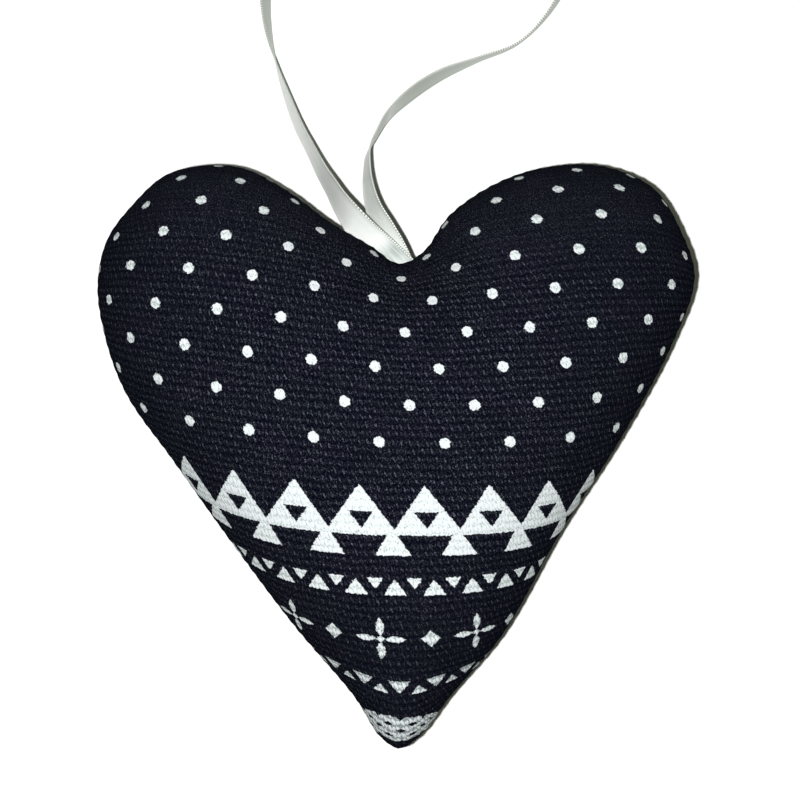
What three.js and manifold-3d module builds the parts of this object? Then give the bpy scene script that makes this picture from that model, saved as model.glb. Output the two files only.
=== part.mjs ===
// A stuffed fabric heart that lies on its back, with a satin ribbon loop sewn into the seam at its notch.
// Millimetres, +Z up. The origin is on the resting surface, under the middle of the heart's box.
// +Y runs from the tip to the notch and +X is to the right, seen from the front.
import * as THREE from "three";
import { mergeVertices } from "three/addons/utils/BufferGeometryUtils.js";
import Module from "manifold-3d";

// The heart
const SEAM_HEIGHT = 20.6; // the seam's plane, above the resting surface
const FRONT_CROWN = 20.2; // how far the front panel swells above the seam
const BACK_CROWN = 20.8; // how far the back panel would swell below the seam, if nothing pressed it flat
const PIECE_GAP = 0.3; // between the two panels, and between the ribbon and the heart
const CENTRE = new THREE.Vector2(0, 8); // every line from here meets the outline once
const RIM_POINTS = 96;
const RINGS = 12;
const FIELD_SAMPLES = 1200;

// The outline along the seam, from the notch round by the left lobe, the tip and the right lobe.
const OUTLINE = [
  [0.2, 36.0], [-4.7, 39.1], [-12.2, 43.5], [-20.3, 49.4], [-28.4, 53.6], [-36.0, 54.2],
  [-43.3, 52.3], [-49.4, 46.8], [-54.2, 40.2], [-56.0, 31.7], [-54.4, 21.5], [-50.6, 11.2],
  [-42.0, -1.0], [-30.6, -16.2], [-19.0, -31.6], [-8.3, -44.9], [-3.6, -52.2], [0.3, -54.6],
  [4.2, -52.3], [10.0, -44.8], [19.7, -33.3], [30.8, -13.8], [41.5, 2.8], [51.3, 20.8],
  [55.4, 33.0], [52.8, 41.9], [47.6, 49.9], [38.3, 54.0], [28.2, 54.0], [18.4, 51.0],
  [9.5, 45.0], [4.6, 38.2],
];

// The ribbon
const RIBBON_WIDTH = 6.4;
const RIBBON_THICKNESS = 0.6;
const RIBBON_STEPS = 78;

// The ribbon's centre line, from one end at the notch round the loop to the other, as x, y, z and the
// roll in degrees. At 0 the ribbon lies flat, and as it grows the edge on the right of the way rises.
const RIBBON_ROUTE = [
  [0.5, 34.6, 21.3, 4], [-2.6, 37.7, 21.3, 16], [-5.6, 40.7, 21.6, 28], [-8.3, 43.9, 22.0, 43],
  [-10.6, 47.1, 20.1, 56], [-12.6, 50.6, 17.1, 65], [-14.7, 54.4, 13.8, 70],
  [-16.8, 58.7, 10.7, 74], [-19.1, 63.4, 8.2, 75], [-21.2, 68.7, 6.3, 79], [-23.2, 74.6, 5.0, 87],
  [-25.0, 81.5, 4.2, 98], [-25.7, 89.8, 3.6, 106], [-24.8, 99.6, 3.2, 118],
  [-19.6, 110.8, 2.6, 138], [-9.6, 119.2, 1.5, 160], [3.0, 123.0, 0.7, 180],
  [16.2, 121.8, 1.5, 199], [27.8, 115.2, 2.7, 221], [34.0, 105.4, 3.2, 241],
  [34.0, 95.4, 3.3, 254], [30.0, 86.5, 3.7, 266], [23.5, 79.7, 3.5, 273], [15.3, 76.3, 3.8, 269],
  [8.1, 73.2, 4.6, 258], [2.5, 69.4, 5.8, 256], [-1.6, 65.4, 7.5, 263], [-4.0, 61.4, 9.7, 268],
  [-5.5, 57.8, 12.2, 275], [-5.8, 54.2, 14.5, 282], [-5.5, 50.4, 16.6, 289],
  [-4.5, 46.4, 18.2, 298], [-2.6, 42.0, 19.3, 315], [-0.5, 36.5, 19.9, 345],
];

const COLOURS = { canvas: 0x15161f, satin: 0xd5dcd2 };

// Points of the outline as a smooth closed curve, evenly spaced along it.
function outlinePoints(count) {
  const corners = OUTLINE.map(([x, y]) => new THREE.Vector3(x, y, 0));
  const curve = new THREE.CatmullRomCurve3(corners, true, "centripetal");
  curve.arcLengthDivisions = count;
  return curve.getSpacedPoints(count).slice(0, count).map((p) => new THREE.Vector2(p.x, p.y));
}

// How far a point is from the outline as a whole, smoothed: 0 at the seam, largest in the middle.
function depthInside(point, outline) {
  let sum = 0;
  outline.forEach((corner, i) => {
    const next = outline[(i + 1) % outline.length];
    const distance = point.distanceTo(corner.clone().add(next).multiplyScalar(0.5));
    sum += corner.distanceTo(next) / distance ** 3;
  });
  return 1 / Math.sqrt(sum);
}

// The swelling at each grid point, 0 at the seam and 1 at the crown.
// The grid is the centre, and then rings of the outline's own shape, closer together near the seam.
function swellingGrid() {
  const rim = outlinePoints(RIM_POINTS);
  const field = outlinePoints(FIELD_SAMPLES);
  const points = [CENTRE.clone()];
  for (let ring = 1; ring <= RINGS; ring++) {
    const reach = Math.sin((Math.PI / 2) * (ring / RINGS));
    rim.forEach((p) => points.push(CENTRE.clone().lerp(p, reach)));
  }
  const rimStart = points.length - RIM_POINTS;
  const depths = points.map((p, i) => (i < rimStart ? depthInside(p, field) : 0));
  const deepest = Math.max(...depths);
  return points.map((p, i) => {
    const depth = depths[i] / deepest;
    return { x: p.x, y: p.y, swelling: Math.sqrt(depth * (2 - depth)) };
  });
}

// A geometry from corner positions and triangles.
function geometryOf(positions, triangles) {
  const geometry = new THREE.BufferGeometry();
  geometry.setAttribute("position", new THREE.Float32BufferAttribute(positions, 3));
  geometry.setIndex(triangles);
  return geometry;
}

// One half of the heart: a domed face over the grid, closed by a flat one at the seam.
// side is 1 for the front half, which swells upwards, and -1 for the back one.
function halfHeart(grid, side, crown, gap) {
  const seam = SEAM_HEIGHT + (side * gap) / 2;
  const room = SEAM_HEIGHT - gap / 2; // the back half stops at the resting surface
  const positions = [];
  grid.forEach(({ x, y, swelling }) => {
    const height = side > 0 ? swelling * crown : Math.min(swelling * crown, room);
    positions.push(x, y, seam + side * height);
  });
  positions.push(CENTRE.x, CENTRE.y, seam);
  const flatCentre = grid.length;
  const triangles = [];
  const face = (a, b, c) => triangles.push(...(side > 0 ? [a, b, c] : [a, c, b]));
  const at = (ring, i) => (ring === 0 ? 0 : 1 + (ring - 1) * RIM_POINTS + (i % RIM_POINTS));
  for (let i = 0; i < RIM_POINTS; i++) {
    face(0, at(1, i), at(1, i + 1));
    for (let ring = 1; ring < RINGS; ring++) {
      face(at(ring, i), at(ring + 1, i), at(ring + 1, i + 1));
      face(at(ring, i), at(ring + 1, i + 1), at(ring, i + 1));
    }
    face(flatCentre, at(RINGS, i + 1), at(RINGS, i));
  }
  return geometryOf(positions, triangles);
}

// The ribbon as a flat strip with rounded edges, swept along its route and turned by its roll.
function ribbonStrip() {
  const centres = RIBBON_ROUTE.map(([x, y, z]) => new THREE.Vector3(x, y, z));
  const path = new THREE.CatmullRomCurve3(centres, false, "centripetal");
  const half = RIBBON_WIDTH / 2;
  const thick = RIBBON_THICKNESS / 2;
  const bevel = 2 * thick; // how far in from each edge the strip has its full thickness
  const section = [
    [-half, -thick / 2], [-half + bevel, -thick], [half - bevel, -thick], [half, -thick / 2],
    [half, thick / 2], [half - bevel, thick], [-half + bevel, thick], [-half, thick / 2],
  ];
  const sides = section.length;
  const positions = [];
  const triangles = [];
  for (let step = 0; step <= RIBBON_STEPS; step++) {
    const t = step / RIBBON_STEPS;
    const place = t * (RIBBON_ROUTE.length - 1);
    const before = Math.min(Math.floor(place), RIBBON_ROUTE.length - 2);
    const [startRoll, endRoll] = [RIBBON_ROUTE[before][3], RIBBON_ROUTE[before + 1][3]];
    const roll = THREE.MathUtils.degToRad(THREE.MathUtils.lerp(startRoll, endRoll, place - before));
    const centre = path.getPoint(t);
    const along = path.getTangent(t);
    const right = new THREE.Vector3(along.y, -along.x, 0).normalize();
    const up = new THREE.Vector3().crossVectors(right, along);
    const across = right.clone().multiplyScalar(Math.cos(roll)).addScaledVector(up, Math.sin(roll));
    const out = new THREE.Vector3().crossVectors(across, along);
    section.forEach(([w, h]) => {
      const p = centre.clone().addScaledVector(across, w).addScaledVector(out, h);
      positions.push(p.x, p.y, p.z);
    });
    for (let k = 0; step < RIBBON_STEPS && k < sides; k++) {
      const [a, b] = [step * sides + k, step * sides + ((k + 1) % sides)];
      triangles.push(a, b + sides, b, a, a + sides, b + sides);
    }
  }
  const end = RIBBON_STEPS * sides;
  for (let k = 1; k < sides - 1; k++) {
    triangles.push(0, k, k + 1, end, end + k + 1, end + k);
  }
  return geometryOf(positions, triangles);
}

const wasm = await Module();
wasm.setup();

function solidOf(geometry) {
  const merged = mergeVertices(geometry, 1e-4);
  const vertProperties = new Float32Array(merged.attributes.position.array);
  const triVerts = new Uint32Array(merged.index.array);
  return new wasm.Manifold(new wasm.Mesh({ numProp: 3, vertProperties, triVerts }));
}

function geometryOfSolid(solid) {
  const mesh = solid.getMesh();
  return geometryOf(Array.from(mesh.vertProperties), Array.from(mesh.triVerts));
}

// The ribbon's ends, cut back from the heart so that they meet the notch with a small gap.
function ribbonLoop(grid) {
  const grown = 1 + (2 * PIECE_GAP) / FRONT_CROWN;
  const wide = grid.map(({ x, y, swelling }) => ({
    x: CENTRE.x + (x - CENTRE.x) * grown,
    y: CENTRE.y + (y - CENTRE.y) * grown,
    swelling,
  }));
  return [1, -1].reduce(
    (strip, side) => strip.subtract(solidOf(halfHeart(wide, side, FRONT_CROWN * grown, -PIECE_GAP))),
    solidOf(ribbonStrip()),
  );
}

function piece(name, geometry, color, roughness) {
  geometry.computeVertexNormals();
  const mesh = new THREE.Mesh(geometry, new THREE.MeshStandardMaterial({ color, roughness, metalness: 0 }));
  mesh.name = name;
  return mesh;
}

const grid = swellingGrid();
const ornament = new THREE.Group();
ornament.add(
  piece("front_panel", halfHeart(grid, 1, FRONT_CROWN, PIECE_GAP), COLOURS.canvas, 0.95),
  piece("back_panel", halfHeart(grid, -1, BACK_CROWN, PIECE_GAP), COLOURS.canvas, 0.95),
  piece("ribbon_loop", geometryOfSolid(ribbonLoop(grid)), COLOURS.satin, 0.45),
);

export default ornament;
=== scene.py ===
"""A stuffed canvas heart with a satin ribbon loop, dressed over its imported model.

Everything is in metres, +Z up, in the model's own frame: the heart lies on its back, its printed
front upwards, +Y running from the tip to the notch.
"""

import math

import bpy
import numpy as np
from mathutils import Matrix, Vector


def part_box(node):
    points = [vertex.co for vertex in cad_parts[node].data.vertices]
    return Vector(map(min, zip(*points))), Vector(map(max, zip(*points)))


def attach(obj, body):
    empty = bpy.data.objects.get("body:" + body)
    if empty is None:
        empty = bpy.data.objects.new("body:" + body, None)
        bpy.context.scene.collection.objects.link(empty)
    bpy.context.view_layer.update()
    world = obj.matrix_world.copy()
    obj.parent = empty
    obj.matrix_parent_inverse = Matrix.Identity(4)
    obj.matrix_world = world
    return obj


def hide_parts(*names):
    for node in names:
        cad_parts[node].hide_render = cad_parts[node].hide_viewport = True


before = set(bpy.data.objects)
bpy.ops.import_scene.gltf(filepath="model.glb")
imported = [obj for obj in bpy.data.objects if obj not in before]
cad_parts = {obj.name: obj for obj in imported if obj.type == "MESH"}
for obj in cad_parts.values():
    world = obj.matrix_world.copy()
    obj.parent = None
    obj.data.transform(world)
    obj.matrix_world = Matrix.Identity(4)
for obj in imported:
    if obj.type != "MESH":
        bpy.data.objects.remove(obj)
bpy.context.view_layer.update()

MM = 0.001

# ---------------------------------------------------------------- sizes

# The outline along the seam, from the notch round by the left lobe, the tip and the right lobe.
OUTLINE = [
    (0.0002, 0.0360), (-0.0047, 0.0391), (-0.0122, 0.0435), (-0.0203, 0.0494), (-0.0284, 0.0536),
    (-0.0360, 0.0542), (-0.0433, 0.0523), (-0.0494, 0.0468), (-0.0542, 0.0402), (-0.0560, 0.0317),
    (-0.0545, 0.0215), (-0.0506, 0.0112), (-0.0420, -0.0010), (-0.0310, -0.0164),
    (-0.0194, -0.0318), (-0.0083, -0.0449), (-0.0036, -0.0522), (0.0003, -0.0546),
    (0.0042, -0.0523), (0.0100, -0.0448), (0.0197, -0.0333), (0.0308, -0.0138), (0.0415, 0.0028),
    (0.0513, 0.0208), (0.0554, 0.0330), (0.0528, 0.0419), (0.0476, 0.0499), (0.0383, 0.0540),
    (0.0282, 0.0540), (0.0184, 0.0510), (0.0095, 0.0450), (0.0046, 0.0382),
]
CENTRE = (0.0, 8 * MM)  # every line from here meets the outline once
BACK_CROWN = 20.8 * MM  # how far the back would swell below the seam, if nothing pressed it flat

# The ribbon's centre line from one end at the notch round the loop to the other: x, y, z, and the
# roll in degrees. At 0 it lies flat, and as the roll grows the edge on the right of the way rises.
RIBBON_ROUTE = [
    (0.0005, 0.0346, 0.0213, 4), (-0.0026, 0.0377, 0.0213, 16), (-0.0056, 0.0407, 0.0216, 28),
    (-0.0083, 0.0439, 0.0220, 43), (-0.0106, 0.0471, 0.0201, 56), (-0.0126, 0.0506, 0.0171, 65),
    (-0.0147, 0.0544, 0.0138, 70), (-0.0168, 0.0587, 0.0107, 74), (-0.0191, 0.0634, 0.0082, 75),
    (-0.0212, 0.0687, 0.0063, 79), (-0.0232, 0.0746, 0.0050, 87), (-0.0250, 0.0815, 0.0042, 98),
    (-0.0257, 0.0898, 0.0036, 106), (-0.0248, 0.0996, 0.0032, 118), (-0.0196, 0.1108, 0.0026, 138),
    (-0.0096, 0.1192, 0.0015, 160), (0.0030, 0.1230, 0.0007, 180), (0.0162, 0.1218, 0.0015, 199),
    (0.0278, 0.1152, 0.0027, 221), (0.0340, 0.1054, 0.0032, 241), (0.0340, 0.0954, 0.0033, 254),
    (0.0300, 0.0865, 0.0037, 266), (0.0235, 0.0797, 0.0035, 273), (0.0153, 0.0763, 0.0038, 269),
    (0.0081, 0.0732, 0.0046, 258), (0.0025, 0.0694, 0.0058, 256), (-0.0016, 0.0654, 0.0075, 263),
    (-0.0040, 0.0614, 0.0097, 268), (-0.0055, 0.0578, 0.0122, 275), (-0.0058, 0.0542, 0.0145, 282),
    (-0.0055, 0.0504, 0.0166, 289), (-0.0045, 0.0464, 0.0182, 298), (-0.0026, 0.0420, 0.0193, 315),
    (-0.0005, 0.0365, 0.0199, 345),
]
RIBBON_WIDTH = 6.4 * MM
RIBBON_THICKNESS = 0.2 * MM
RIBBON_STEP = 0.6 * MM
SEAM_TUCK = 3.2 * MM  # how far each end of the ribbon runs on into the seam
SELVEDGE = 0.35 * MM  # the firmer woven edge
SELVEDGE_RISE = 1.7  # how thick it is, next to the rest of the ribbon
SELVEDGE_PITCH = 0.5 * MM
RIBBON_CUP = 0.12 * MM  # how far the edges stand off the middle

# The panels: a square grid wrapped onto the heart, so many steps from its middle to the seam.
GRID = 60
OUTLINE_SAMPLES = 1500  # from which the depth inside the outline is worked out
STITCH = 2.4 * MM
SEAM_DEPTH = 0.8 * MM  # how far the seam pulls in behind the swell on both sides of it
SEAM_REACH = 1.6 * MM
PUCKER = 0.16 * MM
PUCKER_REACH = 4.5 * MM
STITCH_PULL = 0.35  # how much more the cloth is drawn in at a stitch, as a share of the groove
SEAM_ALLOWANCE = 4 * MM  # the cloth turned in at the seam
ALLOWANCE_STRETCH = 1.06  # how much wider its cut lies than the rim's, in the cloth's coordinates
ALLOWANCE_PARTING = 0.3 * MM  # between the seam's plane and each panel's turned-in edge

# The cloth, in its own flat coordinates: u along the weft, v along the warp, from the first row of dots.
THREAD = (0.75 * MM, 1.4 * MM)  # one warp thread across, one weft thread down
CLOTH_TURN = -0.0365
CLOTH_SKEW = -0.0934  # the weft was pulled askew on the roll, as woven cloth is
CLOTH_START = (-3.1 * MM, 4.1 * MM)  # where u and v are 0, in the plan
WARP_SPREAD = 1.51  # for each metre up the cloth, as the stuffing draws the lobes wider
WEFT_SAG = 0.5  # how the wefts hang towards the sides at the crown
WEFT_BOW = 1225  # and how they rise towards the sides, the more so near the lobes and the tip
BOW_MIDDLE = 6.5 * MM  # how far up the cloth the weft lies that only hangs
WEFT_WAVE = (0.016, 8.1 * MM, 11.2 * MM)  # how far they sway, for each metre up the cloth, and where
DOT_HALF_PITCH = 5.82 * MM
DOT_ROWS = 6.8 * MM
DOT_RADIUS = 0.98 * MM

# The view: straight down, the printed side filling the frame.
VIEW_MIDDLE = (0.42 * MM, 10.37 * MM)
CAMERA_HEIGHT = 415 * MM  # above the seam
FRAME_WIDTH = 149.4 * MM  # of the seam's plane
KEY_PLACE = (-15.3 * MM, 6 * MM, 435 * MM)  # a hard light beside the lens, as a camera's flash is
KEY_TARGET = (0, 10 * MM, 20 * MM)
KEY_SIZE = 7 * MM
KEY_POWER = 2.3
SKY_COLOUR = (0.93, 1.0, 0.74, 1)
SKY_STRENGTH = 0.1


# ---------------------------------------------------------------- curves and grids

def curve_through(points, closed, per_span=40):
    """A dense centripetal Catmull-Rom curve through the points."""
    points = np.array(points, float)
    if closed:
        points = np.vstack([points[-1:], points, points[:2]])
    else:
        before = 2 * points[0] - points[1]
        after = 2 * points[-1] - points[-2]
        points = np.vstack([before, points, after])
    spans = []
    for a, b, c, d in zip(points, points[1:], points[2:], points[3:]):
        ta = 0.0
        tb = ta + np.linalg.norm(b[:3] - a[:3]) ** 0.5
        tc = tb + np.linalg.norm(c[:3] - b[:3]) ** 0.5
        td = tc + np.linalg.norm(d[:3] - c[:3]) ** 0.5
        t = np.linspace(tb, tc, per_span, endpoint=False)[:, None]
        ab = ((tb - t) * a + (t - ta) * b) / (tb - ta)
        bc = ((tc - t) * b + (t - tb) * c) / (tc - tb)
        cd = ((td - t) * c + (t - tc) * d) / (td - tc)
        abc = ((tc - t) * ab + (t - ta) * bc) / (tc - ta)
        bcd = ((td - t) * bc + (t - tb) * cd) / (td - tb)
        spans.append(((tc - t) * abc + (t - tb) * bcd) / (tc - tb))
    return np.vstack([*spans, points[-2][None]])


def evenly(curve, count, closed=False):
    """So many points along a dense curve, equally far apart."""
    steps = np.linalg.norm(np.diff(curve[:, :3], axis=0), axis=1)
    along = np.concatenate([[0], np.cumsum(steps)])
    wanted = np.linspace(0, along[-1], count, endpoint=not closed)
    return np.stack([np.interp(wanted, along, column) for column in curve.T], axis=1)


def unit(vectors):
    return vectors / np.linalg.norm(vectors, axis=-1, keepdims=True)


def mesh_object(name, points, faces, materials=()):
    mesh = bpy.data.meshes.new(name)
    mesh.from_pydata(np.asarray(points).tolist(), [], faces)
    mesh.polygons.foreach_set("use_smooth", [True] * len(mesh.polygons))
    for material in materials:
        mesh.materials.append(material)
    made = bpy.data.objects.new(name, mesh)
    bpy.context.collection.objects.link(made)
    return made


def set_uv(mesh, layer_name, per_vertex):
    """One pair of texture coordinates for each vertex."""
    corners = np.empty(len(mesh.loops), int)
    mesh.loops.foreach_get("vertex_index", corners)
    layer = mesh.uv_layers.new(name=layer_name)
    layer.data.foreach_set("uv", np.asarray(per_vertex)[corners].ravel())


# ---------------------------------------------------------------- node trees

class Value:
    """A number that varies over a surface: an output of a node, which arithmetic builds on."""

    def __init__(self, socket):
        self.socket = socket

    def tree(self):
        return self.socket.id_data

    def __add__(self, other):
        return calculate(self.tree(), "ADD", self, other)

    def __radd__(self, other):
        return calculate(self.tree(), "ADD", other, self)

    def __sub__(self, other):
        return calculate(self.tree(), "SUBTRACT", self, other)

    def __rsub__(self, other):
        return calculate(self.tree(), "SUBTRACT", other, self)

    def __mul__(self, other):
        return calculate(self.tree(), "MULTIPLY", self, other)

    def __rmul__(self, other):
        return calculate(self.tree(), "MULTIPLY", other, self)

    def __truediv__(self, other):
        return calculate(self.tree(), "DIVIDE", self, other)

    def __neg__(self):
        return calculate(self.tree(), "MULTIPLY", self, -1)

    def __abs__(self):
        return calculate(self.tree(), "ABSOLUTE", self)


def plug(tree, value, slot):
    """Connects a Value to a socket, or sets the socket to a plain number."""
    if isinstance(value, Value):
        tree.links.new(value.socket, slot)
    else:
        slot.default_value = value


def calculate(tree, operation, *values):
    node = tree.nodes.new("ShaderNodeMath")
    node.operation = operation
    for slot, value in zip(node.inputs, values):
        plug(tree, value, slot)
    return Value(node.outputs[0])


def both(a, b):
    return calculate(a.tree(), "MINIMUM", a, b)


def either(*shapes):
    found = shapes[0]
    for shape in shapes[1:]:
        found = calculate(found.tree(), "MAXIMUM", found, shape)
    return found


def hypotenuse(a, b):
    return calculate(a.tree(), "SQRT", a * a + b * b)


def folded(a, pitch):
    """The way from the nearest multiple of the pitch."""
    return calculate(a.tree(), "WRAP", a, pitch / 2, -pitch / 2)


def whole(a):
    return calculate(a.tree(), "FLOOR", a)


def between(a, low, high):
    """0 at low, 1 at high, straight between and flat outside."""
    node = a.tree().nodes.new("ShaderNodeMapRange")
    for name, value in (("Value", a), ("From Min", low), ("From Max", high)):
        plug(a.tree(), value, node.inputs[name])
    return Value(node.outputs["Result"])


def random_at(a, b, seed):
    """A number from 0 to 1 for each pair of whole numbers."""
    tree = a.tree()
    place = tree.nodes.new("ShaderNodeCombineXYZ")
    for slot, value in zip(place.inputs, (a, b, seed)):
        plug(tree, value, slot)
    noise = tree.nodes.new("ShaderNodeTexWhiteNoise")
    tree.links.new(place.outputs[0], noise.inputs["Vector"])
    return Value(noise.outputs["Value"])


def cloudy(a, b, size_a, size_b, detail=2.0):
    """Smooth noise from 0 to 1, with its own size in each direction."""
    tree = a.tree()
    place = tree.nodes.new("ShaderNodeCombineXYZ")
    plug(tree, a / size_a, place.inputs[0])
    plug(tree, b / size_b, place.inputs[1])
    noise = tree.nodes.new("ShaderNodeTexNoise")
    noise.inputs["Scale"].default_value = 1.0
    noise.inputs["Detail"].default_value = detail
    tree.links.new(place.outputs[0], noise.inputs["Vector"])
    return Value(noise.outputs[0])


def mixed(a, b, share):
    """A colour between two, each a socket's or a plain one."""
    tree = share.tree()
    node = tree.nodes.new("ShaderNodeMix")
    node.data_type = "RGBA"
    plug(tree, share, node.inputs["Factor"])
    plug(tree, a, node.inputs["A"])
    plug(tree, b, node.inputs["B"])
    return Value(node.outputs["Result"])


def new_material(name):
    """A material with only its shader in it, and that shader."""
    material = bpy.data.materials.new(name)
    material.use_nodes = True
    return material, material.node_tree.nodes["Principled BSDF"]


def flat_coordinates(material, layer_name):
    """u and v of a texture layer, as two values."""
    nodes = material.node_tree.nodes
    source = nodes.new("ShaderNodeUVMap")
    source.uv_map = layer_name
    split = nodes.new("ShaderNodeSeparateXYZ")
    material.node_tree.links.new(source.outputs[0], split.inputs[0])
    return Value(split.outputs[0]), Value(split.outputs[1])


def bumped(material, shader, height):
    """The height, in metres, as fine relief of the surface."""
    tree = material.node_tree
    node = tree.nodes.new("ShaderNodeBump")
    node.inputs["Strength"].default_value = 1.0
    node.inputs["Distance"].default_value = 1.0
    plug(tree, height, node.inputs["Height"])
    tree.links.new(node.outputs[0], shader.inputs["Normal"])


# ---------------------------------------------------------------- the printed pattern

# Each shape gives how far inside it a point is, in metres, and is negative outside.

def disc(u, v, radius):
    return radius - hypotenuse(u, v)


def triangle(u, v, half_base, height, blunt=0.0):
    """Stands on its base. The apex is at 0, 0, and blunt is how far its corners are rounded."""
    side = (-v * (half_base / height) - hypotenuse(u, blunt)) * (height / math.hypot(height, half_base))
    return calculate(u.tree(), "SMOOTH_MIN", side, v + height, blunt)


def hanging_triangle(u, v, half_base, height, blunt=0.0):
    """Hangs from its base, whose middle is at 0, 0."""
    return triangle(u, -v - height, half_base, height, blunt)


def diamond(u, v, half_width, half_height):
    share = 1 - abs(u) / half_width - abs(v) / half_height
    return share * (half_width * half_height / math.hypot(half_width, half_height))


def petal(along, across, middle, half_length, half_width):
    offset = (along - middle) / half_length
    return (1 - offset * offset) * half_width - abs(across)


def dot_rows(u, v):
    v = v + 0.2 * MM
    row = whole(v / DOT_ROWS + 0.5)
    shifted = u + 0.2 * MM - folded(row, 2) * DOT_HALF_PITCH
    dots = disc(folded(shifted, 2 * DOT_HALF_PITCH), v - row * DOT_ROWS, DOT_RADIUS)
    return both(dots, v + DOT_ROWS / 2)


def mountain_row(u, v):
    """Large triangles side by side, each with a small one left out, and a small one below each joint."""
    pitch = 11.45 * MM
    top = -7.85 * MM
    height = 8.75 * MM
    here = folded(u + 4.2 * MM, pitch)
    blunt = 0.15 * MM
    mountain = both(triangle(here, v - top - blunt, 6.45 * MM, height + blunt), top - v)
    window = hanging_triangle(here, v - top + 4.65 * MM, 2.2 * MM, 2.95 * MM)
    joint = folded(u + 4.7 * MM - pitch / 2, pitch)
    foot = triangle(joint, v - top + height - 1.45 * MM, 3.1 * MM, 5.0 * MM)
    return either(both(mountain, -window), foot)


def little_triangles(u, v, line, flip):
    """Large upright and small hanging triangles by turns. A negative flip turns the row upside down."""
    pitch = 6.7 * MM
    blunt = 0.25 * MM
    v = (v - line) * flip
    large = triangle(folded(u, pitch), v - 0.2 * MM, 1.98 * MM, 2.97 * MM, blunt)
    small = hanging_triangle(folded(u - pitch / 2, pitch), v - 0.25 * MM, 1.42 * MM, 2.15 * MM, blunt)
    return either(large, small)


def crosses(u, v):
    """Crosses of four petals round a small diamond, with a larger diamond between each pair."""
    pitch = 17.1 * MM
    u = u + 2.15 * MM
    v = v + 35.0 * MM
    here = folded(u, pitch)
    side_petals = petal(abs(here), v, 2.55 * MM, 1.75 * MM, 0.58 * MM)
    upright_petals = petal(abs(v), here, 2.15 * MM, 1.6 * MM, 0.7 * MM)
    middle = diamond(here, v, 0.75 * MM, 0.65 * MM)
    between_them = diamond(folded(u - pitch / 2, pitch), v, 1.65 * MM, 1.5 * MM)
    return either(side_petals, upright_petals, middle, between_them)


def lace_band(u, v):
    """A scalloped band that droops at the sides, drawn in where its scallops meet, with rows of holes."""
    scallop = 4.2 * MM
    joint = folded(u - 0.35 * MM, scallop)
    middle = folded(u - 0.35 * MM - scallop / 2, scallop)
    v = v + u * u * 52
    notch = between(abs(joint), 0.55 * MM, 0)
    band = both(-49.5 * MM - notch * (0.8 * MM) - v, v + 55.2 * MM - notch * (0.6 * MM))
    holes = [
        petal(across, v - line, 0, 0.8 * MM, 0.4 * MM)
        for across, line in ((middle, -51.1 * MM), (joint, -52.3 * MM), (middle, -53.8 * MM))
    ]
    return both(band, -either(*holes))


def print_shapes(u, v):
    return either(
        dot_rows(u, v),
        mountain_row(u, v),
        little_triangles(u - 0.93 * MM, v, -24.35 * MM, 1),
        crosses(u, v),
        little_triangles(u - 0.53 * MM, v, -44.9 * MM, -1.25),
        lace_band(u, v),
    )


# ---------------------------------------------------------------- materials

CANVAS_DARK = (0.0001, 0.0006, 0.0035, 1)
CANVAS_LIGHT = ((0.106, 0.106, 0.146, 1), (0.096, 0.112, 0.136, 1))  # the light strands, partly painted glints, leaning to violet, and to grey
CANVAS_WORN = (0.085, 0.092, 0.125, 1)
INK = (0.63, 0.665, 0.69, 1)
# The ink's colour in the valleys between threads: partly thinner ink, partly painted shade.
INK_VALLEY = (0.33, 0.385, 0.375, 1)
SATIN_FACE = ((0.74, 0.77, 0.745, 1), (0.84, 0.865, 0.845, 1))  # between its threads, and on them
# The back, drawn darker than the face as painted shade.
SATIN_BACK_SHADED = ((0.28, 0.32, 0.27, 1), (0.36, 0.405, 0.345, 1))
SATIN_PRESSED_AND_SHADED = ((0.33, 0.38, 0.355, 1), (0.53, 0.58, 0.55, 1))  # flattened where it enters the seam: rougher, with crease lines, and darker as painted shade
SELVEDGE_SHADE_AND_PICOTS = ((0.24, 0.27, 0.22, 1), (0.88, 0.90, 0.86, 1))  # between the picots, drawn dark as painted shade, and on them
SATIN_BACK_OFFSET = 20 * MM  # how far the back's coordinates across the ribbon lie beside the face's

CLOTH_MIDDLE = 10 * MM  # v of the front's middle, where the painted sheen lightens the strands most and the ink shows the fewest gaps
STRAND = (0.42 * MM, 0.21 * MM)  # how long and wide a yarn's strand shows
FINE_STRAND = (0.22 * MM, 0.17 * MM)
STREAK = 8.0  # a strand's lightness grows as e to this many times its height
CANVAS_GLOW = 0.054  # the share of the light colour where no strand stands out
CANVAS_RELIEF = 0.11 * MM
INK_STRAY = (0.7 * MM, 0.4 * MM)  # how far the ink's edge strays, by itself and along the strands
INK_EDGE = 0.05 * MM
INK_COVER = (0.12, 0.34)  # the threads' height at which ink begins to hold, and fully holds


def weave(u, v):
    """A plain weave's threads: their height from 0 to 1, and the numbers of the crossing."""
    warp, weft = THREAD
    x = u / warp + cloudy(u, v, 4 * MM, 12 * MM)
    y = v / weft + cloudy(u, v, 9 * MM, 5 * MM) * 0.9 + cloudy(u, v, 2 * MM, 3 * MM) * 0.4
    column, row = whole(x), whole(y)
    across, down = x - column - 0.5, y - row - 0.5
    lean = across + down * 0.6
    warp_on_top = abs(folded(column + row, 2))
    warp_height = 1 - lean * lean * 5 - down * down * 4
    weft_height = 0.5 - across * across - down * down * 4
    height = warp_on_top * warp_height + (1 - warp_on_top) * weft_height
    return between(height, 0.0, 1.0), column, row


def yarn_strokes(u, v, length, width):
    """The slanted strokes of the twisted yarn's strands, as noise from -0.5 to 0.5."""
    along = u * 0.5 - v * 0.87
    across = u * 0.87 + v * 0.5
    return cloudy(along, across, length, width, detail=1.0) - 0.5


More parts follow.
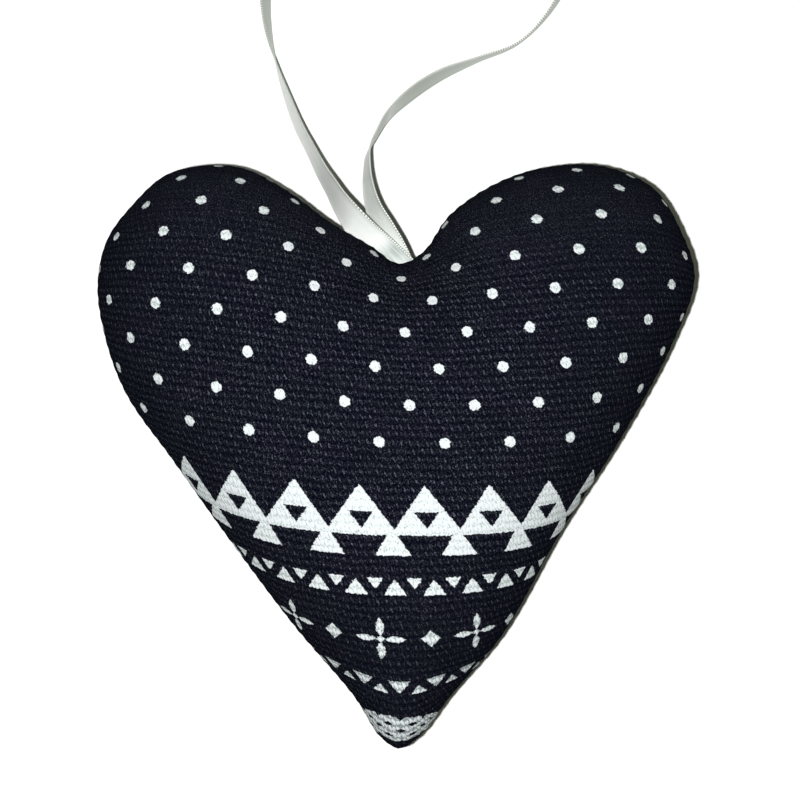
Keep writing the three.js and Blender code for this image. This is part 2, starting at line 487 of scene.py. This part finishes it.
def canvas_material(name, printed):
    """Coarse cloth with light strands, partly painted glints, drawn lighter towards the cloth's middle as
    painted sheen. The ink lies on its threads and shows more gaps towards the edges, partly thinner ink
    and partly painted shade.
    """
    material, shader = new_material(name)
    tree = material.node_tree
    u, v = flat_coordinates(material, "cloth")
    height, column, row = weave(u, v)
    strokes = yarn_strokes(u, v, *STRAND)
    fine = yarn_strokes(u + 31 * MM, v, *FINE_STRAND)
    cell = random_at(column, row, 3.0)
    slub = cloudy(u, v, 8 * MM, 1.5 * MM) + cloudy(u, v, 1.0 * MM, 7 * MM) - 1.0
    from_middle = hypotenuse(u, v - CLOTH_MIDDLE)
    # Painted sheen: the strands are drawn lighter towards the cloth's middle.
    painted_sheen = between(from_middle, 50 * MM, 24 * MM) * 0.3 + 0.7
    fuzzy = between(v, 28 * MM, 44 * MM)  # towards the top the threads show less than the fuzz on them
    # Painted shade of the weave: darker between the threads and lighter on their tops, with a contrast
    # that differs at random for each crossing.
    threads = (height - 0.35) * (1.5 + cell * 1.5) * (1 - fuzzy * 0.7)
    # The strands' light strokes are partly painted glints.
    tone = strokes * (STREAK - fuzzy * 1.5) + fine * (STREAK + fuzzy * 5.0) + slub * 1.2 + threads
    light = calculate(tree, "EXPONENT", tone * painted_sheen) * CANVAS_GLOW
    tint = between(cloudy(u, v, 12 * MM, 9 * MM), 0.42, 0.58)
    colour = mixed(CANVAS_DARK, mixed(*CANVAS_LIGHT, tint), light)
    relief = height * (1 - fuzzy * 0.5) + strokes * 0.5
    if printed:
        stray_u = cloudy(u, v, 0.6 * MM, 0.5 * MM) - 0.5
        stray_v = cloudy(u + 40 * MM, v, 0.5 * MM, 0.6 * MM) - 0.5
        stray, along_strands = INK_STRAY
        inside = print_shapes(u + stray_u * stray + strokes * along_strands, v + stray_v * stray)
        ink = between(inside, -INK_EDGE, INK_EDGE)
        worn = between(v, -24 * MM, -50 * MM)
        # The ink shows more gaps towards the edges: partly thinner ink, partly painted shade.
        thinner_ink_and_shade = between(from_middle, 22 * MM, 50 * MM)
        # Ink holds on the threads' tops; the valleys show the gap colour, partly thinner ink and partly
        # painted shade.
        patchy = height * 0.9 + strokes * 1.4 + fine * 0.7 + 0.35
        covered = between(patchy - thinner_ink_and_shade * 0.26 - worn * 0.05, *INK_COVER)
        gaps = mixed(INK_VALLEY, CANVAS_WORN, worn * 0.5)
        colour = mixed(colour, mixed(gaps, INK, covered), ink)
        relief = relief * (1 - ink * 0.2)
    plug(tree, colour, shader.inputs["Base Color"])
    shader.inputs["Roughness"].default_value = 0.9
    shader.inputs["Specular IOR Level"].default_value = 0.0
    bumped(material, shader, relief * CANVAS_RELIEF)
    return material


def satin_material():
    """A single-faced satin: the shining face, and a duller back whose darker colour is painted shade,
    with coordinates beside the face's.
    """
    material, shader = new_material("satin_ribbon")
    along, beside = flat_coordinates(material, "cloth")
    back = between(beside, SATIN_BACK_OFFSET * 0.4, SATIN_BACK_OFFSET * 0.6)
    across = beside - back * SATIN_BACK_OFFSET
    edge = between(abs(across), RIBBON_WIDTH / 2 - SELVEDGE, RIBBON_WIDTH / 2 - SELVEDGE * 0.7)
    picot = between(abs(folded(along, SELVEDGE_PITCH)), SELVEDGE_PITCH * 0.36, SELVEDGE_PITCH * 0.2)
    warp_line = cloudy(along, across, 9 * MM, 0.16 * MM, detail=1.0)
    weft_rib = between(abs(folded(along, 0.27 * MM)), 0.02 * MM, 0.11 * MM)
    body = between(warp_line, 0.3, 0.7) * 0.6 + weft_rib * 0.4
    # The back's darker colour is painted shade.
    colour = mixed(mixed(*SATIN_FACE, body), mixed(*SATIN_BACK_SHADED, body), back)
    # Near the first end, where it enters the seam, the face is pressed flat: rougher, with crease lines,
    # and drawn darker as painted shade.
    pressed_and_shaded = between(along, 10 * MM, 7 * MM) * (1 - back)
    ridges = between(cloudy(along, across, 4 * MM, 0.22 * MM, detail=1.0), 0.38, 0.62)
    colour = mixed(colour, mixed(*SATIN_PRESSED_AND_SHADED, ridges), pressed_and_shaded)
    # Between the picots the selvedge is drawn dark as painted shade.
    colour = mixed(colour, mixed(*SELVEDGE_SHADE_AND_PICOTS, picot), edge)
    plug(material.node_tree, colour, shader.inputs["Base Color"])
    plug(material.node_tree, 0.42 + edge * 0.3 + pressed_and_shaded * 0.3, shader.inputs["Roughness"])
    shader.inputs["Specular IOR Level"].default_value = 1.0
    shader.inputs["Anisotropic"].default_value = 0.8
    shader.inputs["Anisotropic Rotation"].default_value = 0.25
    shader.inputs["Coat Weight"].default_value = 0.6
    shader.inputs["Coat Roughness"].default_value = 0.4
    shader.inputs["Subsurface Weight"].default_value = 0.5
    shader.inputs["Subsurface Radius"].default_value = (1, 1, 1)
    shader.inputs["Subsurface Scale"].default_value = 0.4 * MM
    bumped(material, shader, weft_rib * (0.012 * MM) + edge * picot * (0.06 * MM))
    return material


def floor_material():
    material, shader = new_material("floor")
    shader.inputs["Base Color"].default_value = (0.9, 0.9, 0.9, 1)
    shader.inputs["Roughness"].default_value = 0.9
    shader.inputs["Specular IOR Level"].default_value = 0.1
    return material


# ---------------------------------------------------------------- the ribbon

def ribbon_frames():
    """The rings' centres, ways and directions across, and the length. Both ends run on into the seam."""
    route = np.array(RIBBON_ROUTE)
    start = route[0] + np.append(unit(route[0, :3] - route[1, :3]) * SEAM_TUCK, 0)
    end = route[-1] + np.append(unit(route[-1, :3] - route[-2, :3]) * SEAM_TUCK, 0)
    curve = curve_through([start, *RIBBON_ROUTE, end], closed=False)
    length = np.linalg.norm(np.diff(curve[:, :3], axis=0), axis=1).sum()
    rings = evenly(curve, int(length / RIBBON_STEP) + 1)
    centres = rings[:, :3]
    roll = np.radians(rings[:, 3])[:, None]
    ways = unit(np.gradient(centres, axis=0))
    right = unit(np.stack([ways[:, 1], -ways[:, 0], np.zeros(len(ways))], axis=1))
    up = np.cross(right, ways)
    across = right * np.cos(roll) + up * np.sin(roll)
    return centres, ways, across, length


def ribbon_section():
    """Points round the ribbon's section, as shares of its half width and of its half thickness."""
    top = [(0.0, 1.0), (0.3, 1.0), (0.6, 1.0), (0.82, 1.0)]
    top += [(0.9, SELVEDGE_RISE), (0.955, SELVEDGE_RISE), (0.99, 1.0)]
    top = [(-s, h) for s, h in reversed(top[1:])] + top
    return top + [(s, -h) for s, h in reversed(top)]


def make_ribbon(material):
    centres, ways, across, length = ribbon_frames()
    normals = np.cross(across, ways)
    section = ribbon_section()
    half_width, half_thickness = RIBBON_WIDTH / 2, RIBBON_THICKNESS / 2
    along = np.linspace(0, length, len(centres))
    rings = []
    cloth = []
    for w, h in section:
        lift = h * half_thickness + RIBBON_CUP * w * w
        rings.append(centres + across * (w * half_width) + normals * lift)
        beside = w * half_width + (SATIN_BACK_OFFSET if h < 0 else 0)
        cloth.append(np.stack([along, np.full(len(along), beside)], axis=1))
    count = len(section)
    points = np.stack(rings, axis=1).reshape(-1, 3)
    faces = []
    for i in range(len(centres) - 1):
        for k in range(count):
            a, b = i * count + k, i * count + (k + 1) % count
            faces.append((a, b, b + count, a + count))
    faces.append(tuple(range(count))[::-1])
    faces.append(tuple(range(len(points) - count, len(points))))
    ribbon = mesh_object("ribbon", points, faces, [material])
    set_uv(ribbon.data, "cloth", np.stack(cloth, axis=1).reshape(-1, 2))
    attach(ribbon, "root")
    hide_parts("ribbon_loop")


# ---------------------------------------------------------------- the heart

def seam_height():
    """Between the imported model's two halves."""
    return (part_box("front_panel")[0][2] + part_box("back_panel")[1][2]) / 2


def depth_inside(points, outline):
    """How far inside the outline each point is, smoothed: 0 at the seam, largest in the middle."""
    after = np.roll(outline, -1, axis=0)
    middle = (outline + after) / 2
    length = np.linalg.norm(after - outline, axis=1)
    depth = np.empty(len(points))
    batch = 1000
    for start in range(0, len(points), batch):
        away = np.linalg.norm(points[start:start + batch, None] - middle[None], axis=2)
        depth[start:start + batch] = (length / np.maximum(away, 1e-7) ** 3).sum(axis=1) ** -0.5
    return depth


class HeartGrid:
    """A square grid wrapped onto the heart: its rings are squares that grow into the outline."""

    def __init__(self, steps):
        self.steps = steps
        self.side = 2 * steps + 1
        numbers = np.arange(-steps, steps + 1)
        column, row = np.meshgrid(numbers, numbers, indexing="ij")
        ring = np.maximum(np.abs(column), np.abs(row))
        self.ring = ring.ravel()
        # The way round a ring in its own steps, from the middle of the top side, leftwards.
        way = np.zeros_like(ring)
        top_left = (row == ring) & (column <= 0)
        left = (column == -ring) & (row < ring)
        bottom = (row == -ring) & (column > -ring)
        right = (column == ring) & (row > -ring)
        top_right = (row == ring) & (column > 0) & (column < ring)
        way[top_left] = -column[top_left]
        way[left] = (2 * ring - row)[left]
        way[bottom] = (4 * ring + column)[bottom]
        way[right] = (6 * ring + row)[right]
        way[top_right] = (8 * ring - column)[top_right]
        self.way = way.ravel() / np.maximum(8 * self.ring, 1)
        dense = curve_through([(x, y, 0) for x, y in OUTLINE], closed=True)
        self.rim_length = np.linalg.norm(np.diff(dense, axis=0), axis=1).sum()
        rim = evenly(dense, 8 * steps, closed=True)[:, :2]
        place = self.way * len(rim)
        before = np.floor(place).astype(int)
        share = (place - before)[:, None]
        on_rim = rim[before % len(rim)] * (1 - share) + rim[(before + 1) % len(rim)] * share
        reach = np.sin(math.pi / 2 * self.ring / steps)[:, None]
        self.plan = np.array(CENTRE) + (on_rim - np.array(CENTRE)) * reach
        outline = evenly(dense, OUTLINE_SAMPLES, closed=True)[:, :2]
        depth = depth_inside(self.plan, outline)
        depth[self.ring == steps] = 0
        share = depth / depth.max()
        self.swelling = np.sqrt(share * (2 - share))

    def faces(self, facing):
        index = np.arange(self.side ** 2).reshape(self.side, self.side)
        corners = [index[:-1, :-1], index[1:, :-1], index[1:, 1:], index[:-1, 1:]]
        if facing < 0:
            corners.reverse()
        return np.stack([c.ravel() for c in corners], axis=1).tolist()

    def rim_order(self):
        """The outermost ring's points, in their order round it."""
        rim = np.flatnonzero(self.ring == self.steps)
        return rim[np.argsort(self.way[rim])]


def flattened(grid, points):
    """The panel's cut: the swollen surface laid flat with the least stretch, over the plan, in metres."""
    panel = mesh_object("flattening", points, grid.faces(1))
    panel.data.uv_layers.new(name="flat")
    bpy.ops.object.select_all(action="DESELECT")
    panel.select_set(True)
    bpy.context.view_layer.objects.active = panel
    bpy.ops.object.mode_set(mode="EDIT")
    bpy.ops.mesh.select_all(action="SELECT")
    bpy.ops.uv.unwrap(method="MINIMUM_STRETCH", iterations=40)
    bpy.ops.object.mode_set(mode="OBJECT")
    mesh = panel.data
    corners = np.empty(len(mesh.loops), int)
    mesh.loops.foreach_get("vertex_index", corners)
    values = np.empty(len(mesh.loops) * 2)
    mesh.uv_layers["flat"].data.foreach_get("uv", values)
    flat = np.zeros((len(points), 2))
    flat[corners] = values.reshape(-1, 2)
    bpy.data.objects.remove(panel)
    return laid_over(flat, points, grid)


def laid_over(flat, points, grid):
    """The flat panel at its true size, turned and moved to lie over the plan."""
    quads = np.array(grid.faces(1))
    p, q = points[quads], flat[quads]
    true_area = np.linalg.norm(np.cross(p[:, 2] - p[:, 0], p[:, 3] - p[:, 1]), axis=1).sum() / 2
    a, b = q[:, 2] - q[:, 0], q[:, 3] - q[:, 1]
    flat_area = (a[:, 0] * b[:, 1] - a[:, 1] * b[:, 0]).sum() / 2
    if flat_area < 0:
        flat = flat * [1, -1]
    flat = flat * math.sqrt(true_area / abs(flat_area))
    middle, plan_middle = flat.mean(axis=0), points[:, :2].mean(axis=0)
    here, there = flat - middle, points[:, :2] - plan_middle
    turn = math.atan2((here[:, 0] * there[:, 1] - here[:, 1] * there[:, 0]).sum(), (here * there).sum())
    return here @ turned(turn).T + plan_middle


def turned(angle):
    return np.array([[math.cos(angle), -math.sin(angle)], [math.sin(angle), math.cos(angle)]])


def cloth_coordinates(flat):
    """u and v of the woven and printed cloth."""
    x, y = ((flat - np.array(CLOTH_START)) @ turned(CLOTH_TURN)).T
    u = x - CLOTH_SKEW * y + WARP_SPREAD * x * y
    sway, start, length = WEFT_WAVE
    rise = WEFT_BOW * (y - BOW_MIDDLE) ** 2 - WEFT_SAG
    v = y + x ** 2 * rise + sway * y * np.sin((x - start) / length)
    return np.stack([u, v], axis=1)


def seam_pull(grid, points, side):
    """Draws the cloth in along the seam, a little more at each stitch, with small puckers beside it."""
    seam = seam_height()
    rim = grid.rim_order()
    edge = points[rim][:, :2]
    tangent = unit(np.roll(edge, -1, axis=0) - np.roll(edge, 1, axis=0))
    inward = np.stack([-tangent[:, 1], tangent[:, 0]], axis=1)
    place = grid.way * len(rim)
    near = np.round(place).astype(int) % len(rim)
    lean = inward[near]
    beside = np.abs(points[:, 2] - seam)
    away = np.hypot(beside, np.linalg.norm(points[:, :2] - edge[near], axis=1))
    stitches = round(grid.rim_length / STITCH)
    phase = 2 * math.pi * stitches * grid.way
    groove = SEAM_DEPTH * np.exp(-(away / SEAM_REACH) ** 1.2)
    pulls = 1 + STITCH_PULL * np.cos(phase)
    ripple = PUCKER * np.exp(-away / PUCKER_REACH) * (1 - np.exp(-away / SEAM_REACH))
    uneven = 0.6 + 0.4 * np.sin(3 * 2 * math.pi * grid.way + 1) * np.sin(17 * 2 * math.pi * grid.way)
    wave = ripple * np.cos(phase + side) * uneven
    moved = points.copy()
    moved[:, :2] += lean * (groove * pulls + wave)[:, None]
    return moved


def panel_points(grid, side):
    seam = seam_height()
    if side > 0:
        height = grid.swelling * (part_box("front_panel")[1][2] - seam)
    else:
        height = -np.minimum(grid.swelling * BACK_CROWN, seam)
    return np.column_stack([grid.plan, seam + height])


def make_panel(name, side, grid, flat, node, material):
    points = seam_pull(grid, panel_points(grid, side), side)
    faces = grid.faces(side)
    rim = grid.rim_order()
    inner = points[rim].copy()
    towards = unit(np.array(CENTRE) - inner[:, :2])
    inner[:, :2] += towards * SEAM_ALLOWANCE
    inner[:, 2] += side * ALLOWANCE_PARTING
    first = len(points)
    points = np.vstack([points, inner])
    around = np.arange(len(rim))
    nxt = np.roll(around, -1)
    for a, b in zip(around, nxt):
        quad = (rim[a], first + a, first + b, rim[b])
        faces.append(quad if side > 0 else quad[::-1])
    cloth = cloth_coordinates(np.vstack([flat, flat[rim] * ALLOWANCE_STRETCH]))
    panel = mesh_object(name, points, [tuple(int(i) for i in f) for f in faces], [material])
    set_uv(panel.data, "cloth", cloth)
    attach(panel, "root")
    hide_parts(node)


def make_heart():
    grid = HeartGrid(GRID)
    flat = flattened(grid, panel_points(grid, 1))
    printed = canvas_material("printed_canvas", printed=True)
    plain = canvas_material("plain_canvas", printed=False)
    make_panel("printed_front", 1, grid, flat, "front_panel", printed)
    make_panel("plain_back", -1, grid, flat, "back_panel", plain)


# ---------------------------------------------------------------- camera, light and floor

def add_camera():
    data = bpy.data.cameras.new("camera")
    data.sensor_width = 36
    data.lens = data.sensor_width * CAMERA_HEIGHT / FRAME_WIDTH
    data.clip_start = 0.01
    camera = bpy.data.objects.new("camera", data)
    camera.location = (*VIEW_MIDDLE, seam_height() + CAMERA_HEIGHT)
    bpy.context.collection.objects.link(camera)
    bpy.context.scene.camera = camera


def add_key_light():
    """A small round light, turned towards its target."""
    data = bpy.data.lights.new("key", "AREA")
    data.shape = "DISK"
    data.size = KEY_SIZE
    data.energy = KEY_POWER
    light = bpy.data.objects.new("key", data)
    light.location = KEY_PLACE
    way = np.array(KEY_TARGET) - np.array(KEY_PLACE)
    yaw = math.atan2(way[1], way[0])
    pitch = math.atan2(math.hypot(way[0], way[1]), -way[2])
    light.rotation_euler = (0, -pitch, yaw + math.pi)
    bpy.context.collection.objects.link(light)


def add_studio():
    world = bpy.data.worlds.new("studio")
    world.use_nodes = True
    background = world.node_tree.nodes["Background"]
    background.inputs["Color"].default_value = SKY_COLOUR
    background.inputs["Strength"].default_value = SKY_STRENGTH
    bpy.context.scene.world = world
    bpy.context.scene.view_settings.view_transform = "Standard"
    add_key_light()
    half = 1.5
    corners = [(-half, -half, 0), (half, -half, 0), (half, half, 0), (-half, half, 0)]
    floor = mesh_object("floor", corners, [(0, 1, 2, 3)], [floor_material()])


add_camera()
make_ribbon(satin_material())
make_heart()
add_studio()
